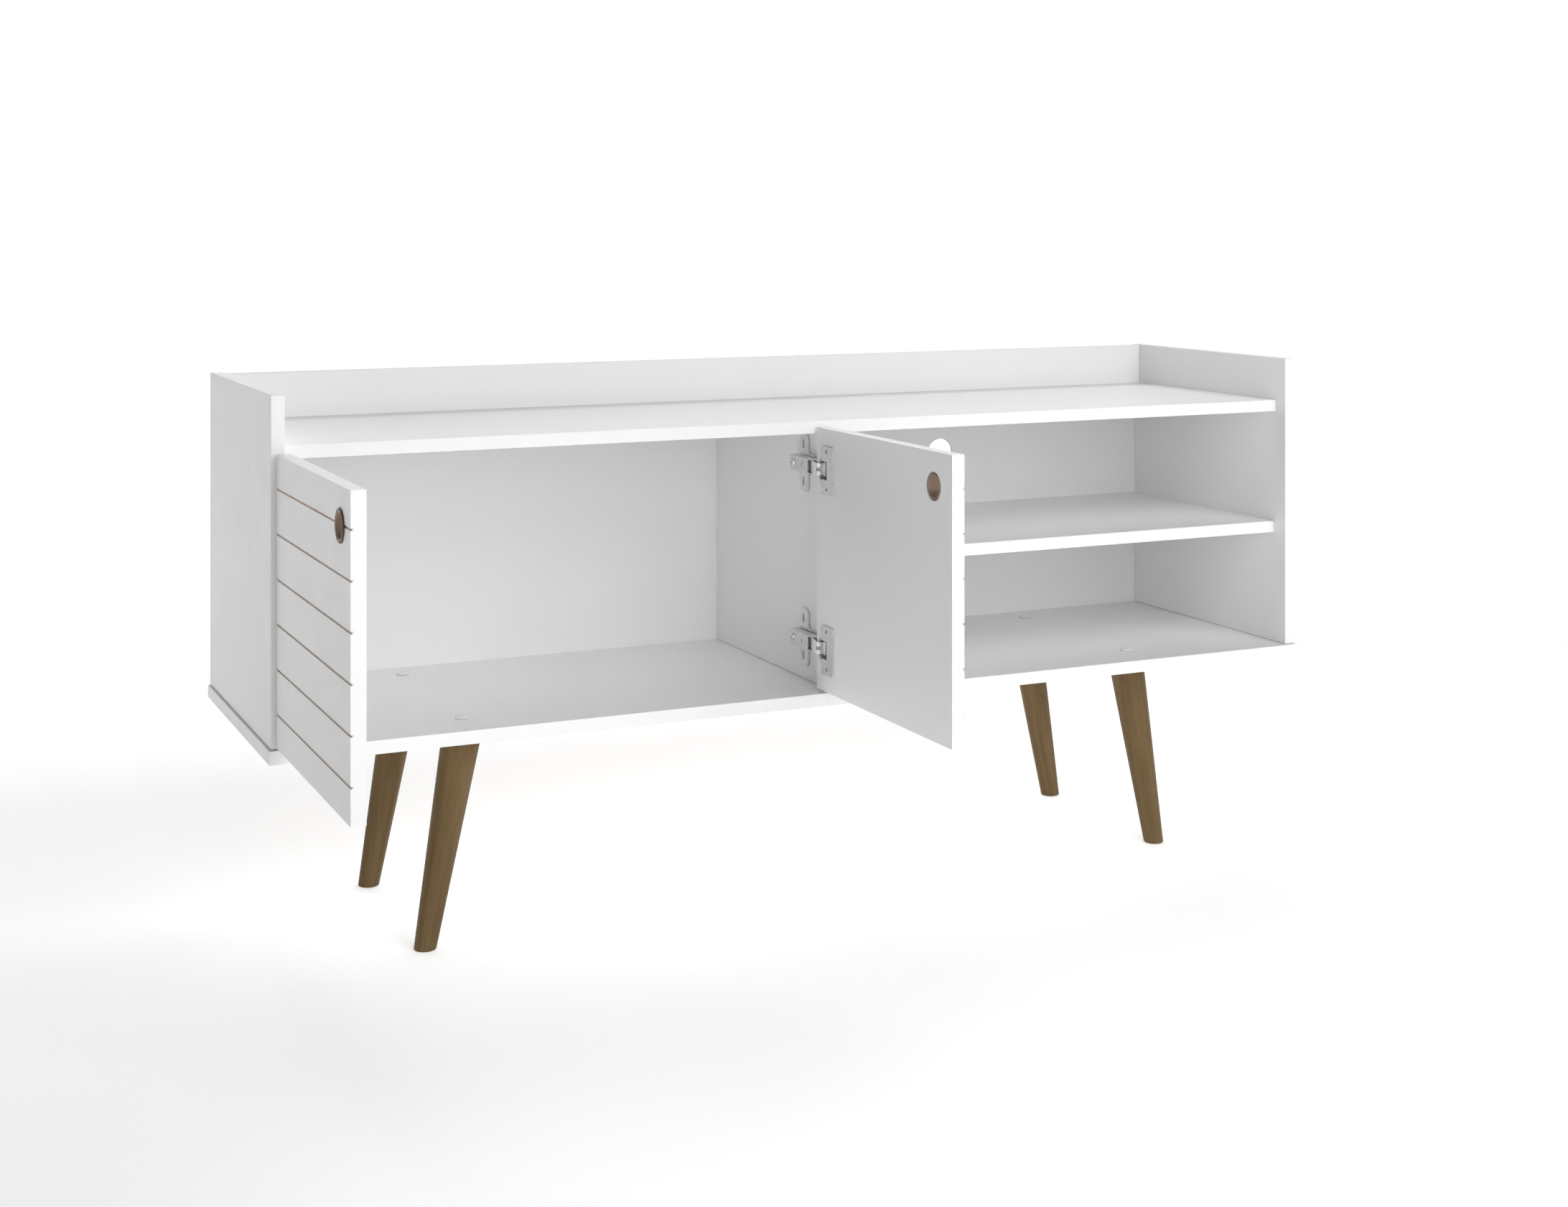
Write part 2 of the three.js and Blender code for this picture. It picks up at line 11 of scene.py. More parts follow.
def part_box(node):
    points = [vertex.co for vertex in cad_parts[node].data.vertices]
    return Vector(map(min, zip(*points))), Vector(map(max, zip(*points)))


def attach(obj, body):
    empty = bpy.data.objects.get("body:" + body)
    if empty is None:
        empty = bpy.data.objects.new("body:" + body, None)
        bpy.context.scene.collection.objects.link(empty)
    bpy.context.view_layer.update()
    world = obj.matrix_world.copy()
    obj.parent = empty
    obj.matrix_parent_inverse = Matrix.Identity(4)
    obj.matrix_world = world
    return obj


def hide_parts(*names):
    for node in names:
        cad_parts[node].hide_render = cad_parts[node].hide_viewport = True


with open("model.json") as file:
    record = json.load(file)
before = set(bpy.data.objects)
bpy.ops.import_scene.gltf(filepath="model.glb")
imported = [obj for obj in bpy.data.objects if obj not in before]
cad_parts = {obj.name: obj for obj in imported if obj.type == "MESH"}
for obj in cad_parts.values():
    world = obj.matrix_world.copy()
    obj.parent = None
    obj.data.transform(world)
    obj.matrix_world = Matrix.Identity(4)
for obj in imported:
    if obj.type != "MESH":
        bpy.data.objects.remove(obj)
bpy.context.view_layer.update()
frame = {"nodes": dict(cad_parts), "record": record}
NODES = frame["nodes"]
MM = 0.001
SIDES = ("left", "right")
LEVELS = ("upper", "lower")
CORNERS = ("front_left", "front_right", "rear_left", "rear_right")


# ------------------------------------------------------------------ materials
class Look:
    """One procedural material: its principled shader and the nodes that feed it."""

    def __init__(self, name, roughness=0.5, metallic=0.0):
        self.material = bpy.data.materials.new(name)
        self.material.use_nodes = True
        self.tree = self.material.node_tree
        self.tree.nodes.clear()
        output = self.node("ShaderNodeOutputMaterial")
        self.shader = self.node("ShaderNodeBsdfPrincipled")
        self.link(self.shader.outputs["BSDF"], output.inputs["Surface"])
        self.shader.inputs["Roughness"].default_value = roughness
        self.shader.inputs["Metallic"].default_value = metallic
        self.place = self.node("ShaderNodeTexCoord").outputs["Object"]
        self.normal = None

    def node(self, kind, **settings):
        made = self.tree.nodes.new(kind)
        for key, value in settings.items():
            setattr(made, key, value)
        return made

    def link(self, source, target):
        self.tree.links.new(source, target)

    def feed(self, target, value):
        """Sets a socket from another socket, a number or a colour."""
        if isinstance(value, bpy.types.NodeSocket):
            self.link(value, target)
        elif isinstance(value, tuple) and target.type == "RGBA":
            target.default_value = (*value, 1.0)
        else:
            target.default_value = value

    def math(self, operation, a, b=0.0):
        made = self.node("ShaderNodeMath", operation=operation)
        self.feed(made.inputs[0], a)
        self.feed(made.inputs[1], b)
        return made.outputs[0]

    def span(self, value, low, high, to_low=0.0, to_high=1.0):
        """value mapped from low..high to to_low..to_high, and held at the ends."""
        made = self.node("ShaderNodeMapRange")
        for socket, number in zip(made.inputs[1:5], (low, high, to_low, to_high)):
            socket.default_value = number
        self.feed(made.inputs[0], value)
        return made.outputs[0]

    def noise(self, scale, detail=2.0, roughness=0.5, vector=None):
        made = self.node("ShaderNodeTexNoise")
        made.inputs["Scale"].default_value = scale
        made.inputs["Detail"].default_value = detail
        made.inputs["Roughness"].default_value = roughness
        self.link(vector or self.place, made.inputs["Vector"])
        return made.outputs["Fac"]

    def moved(self, shift=(0, 0, 0), turn=(0, 0, 0), scale=(1, 1, 1)):
        """The object coordinates after a shift, a turn and a scale."""
        made = self.node("ShaderNodeMapping")
        made.inputs["Location"].default_value = shift
        made.inputs["Rotation"].default_value = turn
        made.inputs["Scale"].default_value = scale
        self.link(self.place, made.inputs["Vector"])
        return made.outputs["Vector"]

    def axes(self):
        """The three object coordinates, each as its own socket."""
        made = self.node("ShaderNodeSeparateXYZ")
        self.link(self.place, made.inputs[0])
        return made.outputs

    def mix(self, factor, a, b):
        made = self.node("ShaderNodeMix", data_type="RGBA")
        self.feed(made.inputs[0], factor)
        self.feed(made.inputs[6], a)
        self.feed(made.inputs[7], b)
        return made.outputs[2]

    def colour(self, value):
        self.feed(self.shader.inputs["Base Color"], value)

    def roughness(self, value):
        self.feed(self.shader.inputs["Roughness"], value)

    def bump(self, height, strength, depth):
        """Adds fine relief of the given depth on top of any relief already there."""
        made = self.node("ShaderNodeBump")
        made.inputs["Strength"].default_value = strength
        made.inputs["Distance"].default_value = depth
        self.link(height, made.inputs["Height"])
        if self.normal is not None:
            self.link(self.normal, made.inputs["Normal"])
        self.normal = made.outputs["Normal"]
        self.link(self.normal, self.shader.inputs["Normal"])


# Each pair of colours is the darker and the lighter end of a cloudy tone.
WHITE = ((0.912, 0.915, 0.913), (0.935, 0.938, 0.936))
RAW_FIBRE = ((0.76, 0.63, 0.55), (0.88, 0.77, 0.69))
HARDBOARD = ((0.27, 0.155, 0.085), (0.35, 0.215, 0.125))
HARDBOARD_SCREEN = (0.16, 0.085, 0.045)
STAIN = ((0.125, 0.08, 0.035), (0.185, 0.123, 0.056))
STAIN_STREAK = (0.088, 0.053, 0.023)
STAIN_PORE = (0.08, 0.047, 0.02)
# The pull's two tones are shaded and lit copies of one brown plastic: painted shade on the rim, painted
# light on the bore's wall.
PULL_RIM_PAINTED_SHADE = ((0.07, 0.043, 0.026), (0.1, 0.064, 0.04))
PULL_WALL_PAINTED_LIGHT = ((0.3, 0.205, 0.148), (0.35, 0.245, 0.18))
CAP_WHITE = ((0.83, 0.83, 0.825), (0.87, 0.87, 0.865))
BEECH = ((0.5, 0.31, 0.16), (0.62, 0.42, 0.24))
HINGE_STEEL = ((0.66, 0.66, 0.66), (0.78, 0.78, 0.775))
# The link's near-white tone, with only part of a metal's shine, is a painted highlight for the light the
# link catches.
LINK_STEEL_PAINTED_HIGHLIGHT = ((0.93, 0.93, 0.925), (0.98, 0.98, 0.975))
SCREW_STEEL = ((0.72, 0.72, 0.715), (0.84, 0.84, 0.835))
ZINC = ((0.5, 0.51, 0.53), (0.62, 0.63, 0.65))


def lacquer(look):
    """Satin white lacquer: a cloudy tone, an even orange peel and a slightly uneven gloss."""
    cloud = look.noise(2.6, detail=3.0)
    fine = look.noise(900.0, detail=1.0)
    white = look.mix(look.span(cloud, 0.3, 0.7), *WHITE)
    look.roughness(look.span(look.noise(38.0, detail=4.0), 0.3, 0.7, 0.36, 0.46))
    look.bump(look.noise(240.0, detail=1.5), 0.12, 0.02 * MM)
    look.bump(fine, 0.1, 0.01 * MM)
    return white


def board_material():
    look = Look("white_board", roughness=0.42)
    look.colour(lacquer(look))
    return look.material


def fibre(look):
    """Raw fibreboard: short felted fibres in a warm beige."""
    threads = look.noise(1.0, detail=5.0, roughness=0.65, vector=look.moved(scale=(900, 260, 900)))
    return look.mix(look.span(threads, 0.35, 0.65), *RAW_FIBRE)


# The raw colour shows between the skin and the deepest depth under a door's outer face.
GROOVE = {"pitch": 47.75 * MM, "half_width": 1.29 * MM, "skin": 0.35 * MM, "deepest": 2.9 * MM}


def door_material(name, outer_x, inward):
    """White lacquer with raw fibreboard inside the grooves cut in the face at outer_x."""
    look = Look(name, roughness=0.42)
    white = lacquer(look)
    x, _, z = look.axes()
    middle = sum(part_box(f"{name}_panel")[i].z for i in (0, 1)) / 2
    steps = look.math("DIVIDE", look.math("SUBTRACT", z, middle), GROOVE["pitch"])
    from_groove = look.math("ABSOLUTE", look.math("SUBTRACT", look.math("FRACT", steps), 0.5))
    near = look.math("LESS_THAN", from_groove, GROOVE["half_width"] / GROOVE["pitch"])
    depth = look.math("MULTIPLY", look.math("SUBTRACT", x, outer_x), inward)
    below = look.math("GREATER_THAN", depth, GROOVE["skin"])
    above = look.math("LESS_THAN", depth, GROOVE["deepest"])
    inside = look.math("MULTIPLY", near, look.math("MULTIPLY", below, above))
    look.colour(look.mix(inside, white, fibre(look)))
    return look.material


SCREEN_WAVES = 2600.0
WHITE_SKIN = 0.35 * MM


def thin_back_material(front_y):
    """White-faced hardboard: white in front, and brown with a screen texture behind and at its edges."""
    look = Look("thin_back_board", roughness=0.5)
    white = lacquer(look)
    x, y, z = look.axes()
    mesh_rows = look.math("SINE", look.math("MULTIPLY", x, SCREEN_WAVES))
    mesh_columns = look.math("SINE", look.math("MULTIPLY", z, SCREEN_WAVES))
    screen = look.span(look.math("MULTIPLY", mesh_rows, mesh_columns), -1.0, 1.0)
    blotch = look.noise(14.0, detail=6.0, roughness=0.6)
    brown = look.mix(look.span(blotch, 0.3, 0.7), *HARDBOARD)
    brown = look.mix(look.math("MULTIPLY", screen, 0.35), brown, HARDBOARD_SCREEN)
    behind = look.math("GREATER_THAN", y, front_y + WHITE_SKIN)
    look.colour(look.mix(behind, white, brown))
    return look.material


GRAIN_STRETCH = 0.045
STAIN_SHEEN = 0.12


def wood_material(name, top, foot, number):
    """Stained straight grain that follows a leg from its top to its foot, shifted by the leg's number."""
    look = Look(name, roughness=0.5)
    look.shader.inputs["Specular IOR Level"].default_value = STAIN_SHEEN
    lean = math.atan2(foot.x - top.x, top.z - foot.z)
    along = look.moved(shift=(number * 1.7, number * 0.9, number * 2.3), turn=(0, lean, 0))
    stretched = look.node("ShaderNodeVectorMath", operation="MULTIPLY")
    look.link(along, stretched.inputs[0])
    stretched.inputs[1].default_value = (1.0, 1.0, GRAIN_STRETCH)
    grain = stretched.outputs[0]
    broad = look.noise(70.0, detail=4.0, roughness=0.55, vector=grain)
    streak = look.noise(330.0, detail=5.0, roughness=0.7, vector=grain)
    pore = look.noise(1500.0, detail=2.0, roughness=0.6, vector=grain)
    base = look.mix(look.span(broad, 0.32, 0.68), *STAIN)
    base = look.mix(look.span(streak, 0.5, 0.72, 0.0, 0.45), base, STAIN_STREAK)
    base = look.mix(look.span(pore, 0.6, 0.75, 0.0, 0.35), base, STAIN_PORE)
    look.colour(base)
    look.roughness(look.span(streak, 0.35, 0.7, 0.46, 0.6))
    look.bump(pore, 0.25, 0.05 * MM)
    look.bump(streak, 0.2, 0.06 * MM)
    return look.material


def brown_plastic(centres, lit_wall_radius, shaded_rim_radius):
    """Satin brown plastic, darker on the rim as painted shade and lighter down the wall of the bore as
    painted light.

    centres are the middles of the pulls, whose bores run along X.
    """
    look = Look("pull_brown", roughness=0.38)
    cloud = look.noise(120.0, detail=3.0)
    grit = look.noise(3500.0, detail=2.0)
    rim = look.mix(look.span(cloud, 0.3, 0.7), *PULL_RIM_PAINTED_SHADE)
    lit_wall = look.mix(look.span(cloud, 0.3, 0.7), *PULL_WALL_PAINTED_LIGHT)
    inside = 0.0
    for centre in centres:
        from_centre = look.node("ShaderNodeVectorMath", operation="SUBTRACT")
        look.link(look.place, from_centre.inputs[0])
        from_centre.inputs[1].default_value = centre
        across = look.node("ShaderNodeVectorMath", operation="MULTIPLY")
        look.link(from_centre.outputs[0], across.inputs[0])
        across.inputs[1].default_value = (0.0, 1.0, 1.0)
        radius = look.node("ShaderNodeVectorMath", operation="LENGTH")
        look.link(across.outputs[0], radius.inputs[0])
        # Painted light covers the bore's wall near each pull's middle and fades into the rim's painted
        # shade further out.
        near = look.span(radius.outputs["Value"], lit_wall_radius, shaded_rim_radius, 1.0, 0.0)
        inside = look.math("MAXIMUM", near, inside)
    look.colour(look.mix(inside, rim, lit_wall))
    look.roughness(look.span(grit, 0.3, 0.7, 0.34, 0.5))
    look.bump(grit, 0.3, 0.02 * MM)
    return look.material


def metal(name, tones, rough, brushing=0.4, metallic=1.0):
    """Plated pressed steel: faint rolling lines and clouds in the plating."""
    look = Look(name, roughness=rough, metallic=metallic)
    lines = look.noise(1.0, detail=3.0, roughness=0.6, vector=look.moved(scale=(1400, 90, 1400)))
    cloud = look.noise(160.0, detail=3.0)
    lined = look.math("MULTIPLY", lines, brushing)
    clouded = look.math("MULTIPLY", cloud, 1 - brushing)
    tone = look.math("ADD", lined, clouded)
    look.colour(look.mix(look.span(tone, 0.36, 0.64), *tones))
    look.roughness(look.span(cloud, 0.3, 0.7, rough - 0.05, rough + 0.08))
    look.bump(lines, 0.2, 0.02 * MM)
    return look.material


def cap_material():
    look = Look("cap_plastic", roughness=0.35)
    cloud = look.noise(300.0, detail=2.0)
    look.colour(look.mix(look.span(cloud, 0.3, 0.7), *CAP_WHITE))
    look.roughness(look.span(look.noise(2500.0), 0.3, 0.7, 0.3, 0.42))
    return look.material


def beech_material():
    look = Look("beech_dowel", roughness=0.7)
    grain = look.noise(1.0, detail=4.0, vector=look.moved(scale=(40, 900, 900)))
    look.colour(look.mix(look.span(grain, 0.35, 0.65), *BEECH))
    look.bump(grain, 0.3, 0.05 * MM)
    return look.material


def pull_centre(side):
    return sum(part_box(f"{side}_door_pull_ring"), Vector()) / 2


MATERIAL_OF_SLOT = {
    "white_board": board_material(),
    "thin_back_board": thin_back_material(front_y=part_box("right_back_panel")[0].y),
    "hinge_steel": metal("hinge_steel", HINGE_STEEL, 0.42),
    # The link's steel is painted near white as a painted highlight.
    "hinge_link_steel": metal("hinge_link_steel", LINK_STEEL_PAINTED_HIGHLIGHT, 0.45, brushing=0.25, metallic=0.6),
    "hinge_screw_steel": metal("hinge_screw_steel", SCREW_STEEL, 0.3),
    "zinc_fastener": metal("zinc_fastener", ZINC, 0.33),
    "beech_dowel": beech_material(),
    "cap_plastic": cap_material(),
    # The pull's brown: painted light down the bore's wall, painted shade on the rim.
    "pull_brown": brown_plastic([pull_centre(side) for side in SIDES],
                                lit_wall_radius=12.5 * MM, shaded_rim_radius=15.0 * MM),
}
DOOR_MATERIAL = {
    "left": door_material("left_door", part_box("left_door_panel")[0].x, 1.0),
    "right": door_material("right_door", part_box("right_door_panel")[1].x, -1.0),
}


# ------------------------------------------------------------------ softened edges on the frame's nodes
HARD_ANGLE = math.radians(34)
FLAT_ANGLE = math.radians(0.2)


def node_group(name):
    """An empty geometry node group, with the geometry that enters it and the socket that it leaves by."""
    group = bpy.data.node_groups.new(name, "GeometryNodeTree")
    for way in ("INPUT", "OUTPUT"):
        group.interface.new_socket("Geometry", in_out=way, socket_type="NodeSocketGeometry")
    start = group.nodes.new("NodeGroupInput")
    end = group.nodes.new("NodeGroupOutput")
    return group, start.outputs[0], end.inputs[0]


def joined_group():
    """Joins a node's loose triangles into one surface and drops its stored normals."""
    group, came, leaves = node_group("joined_surface")
    merge = group.nodes.new("GeometryNodeMergeByDistance")
    merge.inputs["Distance"].default_value = 0.01 * MM
    forget = group.nodes.new("GeometryNodeRemoveAttribute")
    forget.inputs["Name"].default_value = "custom_normal"
    group.links.new(came, merge.inputs["Geometry"])
    group.links.new(merge.outputs["Geometry"], forget.inputs["Geometry"])
    group.links.new(forget.outputs["Geometry"], leaves)
    return group


def outer_edges_group():
    """Shades smooth up to the hard edges, and marks the ones that stand out, which are rounded off."""
    group, came, leaves = node_group("outer_edges")
    smooth = group.nodes.new("GeometryNodeSetShadeSmooth")
    angle = group.nodes.new("GeometryNodeInputMeshEdgeAngle")
    convex = group.nodes.new("ShaderNodeMath")
    convex.operation = "GREATER_THAN"
    convex.inputs[1].default_value = HARD_ANGLE
    store = group.nodes.new("GeometryNodeStoreNamedAttribute")
    store.data_type = "FLOAT"
    store.domain = "EDGE"
    store.inputs["Name"].default_value = "bevel_weight_edge"
    hard = group.nodes.new("ShaderNodeMath")
    hard.operation = "LESS_THAN"
    hard.inputs[1].default_value = HARD_ANGLE
    crease = group.nodes.new("GeometryNodeSetShadeSmooth")
    crease.domain = "EDGE"
    group.links.new(came, smooth.inputs["Geometry"])
    group.links.new(smooth.outputs["Geometry"], crease.inputs["Geometry"])
    group.links.new(angle.outputs["Unsigned Angle"], hard.inputs[0])
    group.links.new(hard.outputs[0], crease.inputs["Shade Smooth"])
    group.links.new(angle.outputs["Signed Angle"], convex.inputs[0])
    group.links.new(convex.outputs[0], store.inputs["Value"])
    group.links.new(crease.outputs["Geometry"], store.inputs["Geometry"])
    group.links.new(store.outputs["Geometry"], leaves)
    return group


JOINED = joined_group()
OUTER_EDGES = outer_edges_group()


def soften(node, width, segments=2, whole_faces=True):
    """Shades a node smooth and rounds its outer edges by width, and leaves its mesh as it is.

    whole_faces joins the triangles of each flat face first.
    """
    joined = node.modifiers.new("joined_surface", "NODES")
    joined.node_group = JOINED
    if whole_faces:
        flat = node.modifiers.new("flat_faces", "DECIMATE")
        flat.decimate_type = "DISSOLVE"
        flat.angle_limit = FLAT_ANGLE
    marked = node.modifiers.new("outer_edges", "NODES")
    marked.node_group = OUTER_EDGES
    if not width:
        return
    eased = node.modifiers.new("eased_edges", "BEVEL")
    eased.width = width
    eased.segments = segments
    eased.limit_method = "WEIGHT"
    eased.harden_normals = True


# ------------------------------------------------------------------ mesh building
def piece(name, body, material, mesh, replaces=()):
    """Puts a finished mesh into the scene on a body."""
    obj = bpy.data.objects.new(name, mesh)
    bpy.context.scene.collection.objects.link(obj)
    mesh.materials.append(material)
    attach(obj, body)
    if replaces:
        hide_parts(*replaces)


def from_bmesh(bm, name, smooth_angle=40):
    bmesh.ops.recalc_face_normals(bm, faces=bm.faces)
    mesh = bpy.data.meshes.new(name)
    bm.to_mesh(mesh)
    bm.free()
    mesh.shade_smooth()
    mesh.set_sharp_from_angle(angle=math.radians(smooth_angle))
    return mesh


def around(sides):
    """The angles of a polygon's corners."""
    return [2 * math.pi * i / sides for i in range(sides)]


def add_band(bm, lower, upper):
    """Joins two loops of vertices, or a loop and the next, with a ring of four-sided faces."""
    for i in range(len(lower)):
        j = (i + 1) % len(lower)
        bm.faces.new((lower[i], lower[j], upper[j], upper[i]))


def add_rings(bm, rings, endless=False):
    """Joins rings of points into a tube, which is closed by caps or runs back into itself."""
    loops = [[bm.verts.new(point) for point in ring] for ring in rings]
    following = loops[1:] + loops[:1] if endless else loops[1:]
    for lower, upper in zip(loops, following):
        add_band(bm, lower, upper)
    if not endless:
        bm.faces.new(loops[0])
        bm.faces.new(loops[-1])


def add_lathe(bm, profile, place, sides=48, endless=False):
    """Turns (radius, height) pairs about local Z, then lays them out by the matrix place."""
    rings = [
        [place @ Vector((radius * math.cos(a), radius * math.sin(a), height)) for a in around(sides)]
        for radius, height in profile
    ]
    add_rings(bm, rings, endless)


def arc(centre_r, centre_h, radius, start, end, steps):
    """Profile points on an arc, with angles in degrees from the outward direction."""
    angles = [math.radians(start + (end - start) * i / steps) for i in range(steps + 1)]
    return [(centre_r + radius * math.cos(a), centre_h + radius * math.sin(a)) for a in angles]


# ------------------------------------------------------------------ legs and caps
LEG = {"foot_radius": 12.5 * MM, "top_radius": 22.3 * MM, "sides": 64, "rings": 12, "eased": 1.3 * MM}


def add_leg(corner, number):
    """A turned leg that leans outward, with an eased foot and top and its grain along the lean."""
    low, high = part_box(f"leg_{corner}")
    outward = -1.0 if corner.endswith("left") else 1.0
    y = (low.y + high.y) / 2
    foot_x = max(abs(low.x), abs(high.x)) - LEG["foot_radius"]
    top_x = min(abs(low.x), abs(high.x)) + LEG["top_radius"]
    height = high.z
    stretch = math.hypot(height, foot_x - top_x) / height
    eased = LEG["eased"]
    stations = [(0.0, -eased), (0.3 * eased, -0.45 * eased), (eased, -0.02 * eased)]
    stations += [(height * i / LEG["rings"], 0.0) for i in range(1, LEG["rings"])]
    stations += [(height - 0.6 * eased, 0.0), (height, -0.4 * eased)]
    rings = []
    for z, inset in stations:
        share = z / height
        radius = LEG["foot_radius"] + (LEG["top_radius"] - LEG["foot_radius"]) * share + inset
        x = foot_x + (top_x - foot_x) * share
        rings.append([
            Vector((outward * x + radius * stretch * math.cos(a), y + radius * math.sin(a), z))
            for a in around(LEG["sides"])
        ])
    bm = bmesh.new()
    add_rings(bm, rings)
    mesh = from_bmesh(bm, f"turned_leg_{corner}")
    top = Vector((outward * top_x, y, height))
    foot = Vector((outward * foot_x, y, 0.0))
    material = wood_material(f"leg_wood_{corner}", top, foot, number)
    piece(f"turned_leg_{corner}", "cabinet", material, mesh, [f"leg_{corner}"])


def add_bolt_cap(corner):
    """A domed cap with a short straight skirt."""
    low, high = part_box(f"bolt_cap_{corner}")
    middle = (low + high) / 2
    radius = (high.x - low.x) / 2
    height = high.z - low.z
    skirt = 0.3 * height
    profile = [(0.96 * radius, 0.0), (radius, 0.08 * height), (radius, skirt)]
    profile += [
        (radius * math.cos(a), skirt + (height - skirt) * math.sin(a))
        for a in (math.radians(12 * i) for i in range(1, 8))
    ]
    bm = bmesh.new()
    add_lathe(bm, profile, Matrix.Translation((middle.x, middle.y, low.z)), sides=36)
    mesh = from_bmesh(bm, f"domed_cap_{corner}", smooth_angle=50)
    piece(f"domed_cap_{corner}", "cabinet", MATERIAL_OF_SLOT["cap_plastic"], mesh,
          [f"bolt_cap_{corner}"])


# ------------------------------------------------------------------ finger pulls
PULL = {"rim": 16.9 * MM, "tube": 15.3 * MM, "bore": 12.35 * MM, "rim_height": 1.85 * MM,
        "rim_round": 1.5 * MM, "mouth_depth": 2.4 * MM, "end_round": 0.5 * MM, "bore_round": 0.6 * MM}
# The mouth's radius and depth in millimetres, from the flat of the rim into the bore.
PULL_MOUTH = ((14.0, 0.12), (13.2, 0.45), (12.75, 0.9), (12.5, 1.5))


def pull_profile(length):
    """The wall of a pull from its rim round the mouth, down the bore and back up the outside."""
    rim, height, bend = PULL["rim"], PULL["rim_height"], PULL["rim_round"]
    end, bore, tube = PULL["end_round"], PULL["bore"], PULL["tube"]
    profile = [(rim, height), (rim, bend)]
    profile += arc(rim - bend, bend, bend, -10, -90, 5)
    profile += [(radius * MM, depth * MM) for radius, depth in PULL_MOUTH]
    profile += [(bore, PULL["mouth_depth"]), (bore, length - PULL["bore_round"])]
    profile += [(bore + end, length), (tube - end, length), (tube, length - end), (tube, height)]
    return profile


def add_pull(side, outward):
    """A bush through the door with a rounded rim on its outer face, turned about X."""
    low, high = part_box(f"{side}_door_pull_ring")
    centre = (low + high) / 2
    start = low.x if outward < 0 else high.x
    turn = Matrix.Rotation(math.radians(-90 if outward > 0 else 90), 4, "Y")
    place = Matrix.Translation((start, centre.y, centre.z)) @ turn
    bm = bmesh.new()
    add_lathe(bm, pull_profile(high.x - low.x), place, sides=64, endless=True)
    mesh = from_bmesh(bm, f"{side}_turned_pull", smooth_angle=35)
    piece(f"{side}_turned_pull", f"{side}_door", MATERIAL_OF_SLOT["pull_brown"], mesh,
          [f"{side}_door_pull_ring"])


# ------------------------------------------------------------------ hinge screws and rivets
# A screw's place along the arm, how far its head stands above the web, the turn of its cross in
# degrees, the head's radius and height, and the reach, width and depth of the cross.
PAN_SCREW = {"along": 44 * MM, "lift": 0.15 * MM, "turn": 24, "radius": 4.8 * MM, "height": 2.4 * MM,
             "reach": 2.9 * MM, "slot": 1.2 * MM, "depth": 1.3 * MM}
ADJUSTING_SCREW = {"along": 16.5 * MM, "lift": -1.3 * MM, "turn": 40, "radius": 3.1 * MM,
                   "height": 2.2 * MM, "reach": 1.9 * MM, "slot": 1.0 * MM, "depth": 1.0 * MM}
PAN_SHANK = {"radius": 2.6 * MM, "length": 9.6 * MM, "into_head": 0.05 * MM}
ARM = {"web_front": 16.2 * MM, "web_rear": 13.6 * MM, "length": 53 * MM, "half_height": 9 * MM,
       "ear": 11 * MM}
# Each rivet's height off the board, place behind the web's front end and radius, in millimetres.
RIVETS = ((8.6, -6.0, 2.5), (11.5, 2.5, 2.0))
# The dome of a rivet: the share of its radius, and the height in millimetres.
RIVET_DOME = ((1.0, 0.0), (1.0, 0.35), (0.8, 0.75), (0.4, 0.95))
RIVET_SUNK = 0.1 * MM
# The dome of a pan head: the shares of its radius and of its height.
PAN_DOME = ((0.97, 0.0), (1.0, 0.25), (0.93, 0.62), (0.84, 0.88), (0.72, 1.0))
PAN_SIDES = 32
CROSS_TAPER = 0.75


def add_cross_head(bm, place, screw):
    """A low pan head with a cross recess, its flat side on local Z 0."""
    radius, height = screw["radius"], screw["height"]
    profile = [(share * radius, rise * height) for share, rise in PAN_DOME]
    rings = [
        [bm.verts.new(place @ Vector((r * math.cos(a), r * math.sin(a), h))) for a in around(PAN_SIDES)]
        for r, h in profile
    ]
    for lower, upper in zip(rings, rings[1:]):
        add_band(bm, lower, upper)
    bm.faces.new(list(reversed(rings[0])))
    w = screw["slot"] / 2
    corner = [(screw["reach"], -w), (screw["reach"], w), (w, w)]
    outline = []
    for quarter in range(4):
        turn = Matrix.Rotation(quarter * math.pi / 2, 2)
        outline += [turn @ Vector(c) for c in corner]
    floor = height - screw["depth"]
    upper = [bm.verts.new(place @ Vector((p.x, p.y, height))) for p in outline]
    tapered = [CROSS_TAPER * p for p in outline]
    lower = [bm.verts.new(place @ Vector((p.x, p.y, floor))) for p in tapered]
    edges = []
    for loop in (rings[-1], upper):
        for i in range(len(loop)):
            edge = bm.edges.get((loop[i], loop[(i + 1) % len(loop)]))
            edges.append(edge or bm.edges.new((loop[i], loop[(i + 1) % len(loop)])))
    bmesh.ops.triangle_fill(bm, use_beauty=True, edges=edges)
    for i in range(len(outline)):
        j = (i + 1) % len(outline)
        bm.faces.new((upper[i], upper[j], lower[j], lower[i]))
    bm.faces.new(lower)


def hinge_start(side, level):
    """The face of the hinge's board, the sign of the way out of it, and the web's front end and middle."""
    low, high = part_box(f"{side}_{level}_hinge_arm")
    out = 1.0 if side == "left" else -1.0
    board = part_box("left_side_panel")[1].x if side == "left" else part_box("divider_panel")[0].x
    return board, out, low.y + ARM["ear"], (low.z + high.z) / 2


def web_height(along):
    """How far the arm's sloping web stands off its board."""
    return ARM["web_front"] + (ARM["web_rear"] - ARM["web_front"]) * along / ARM["length"]


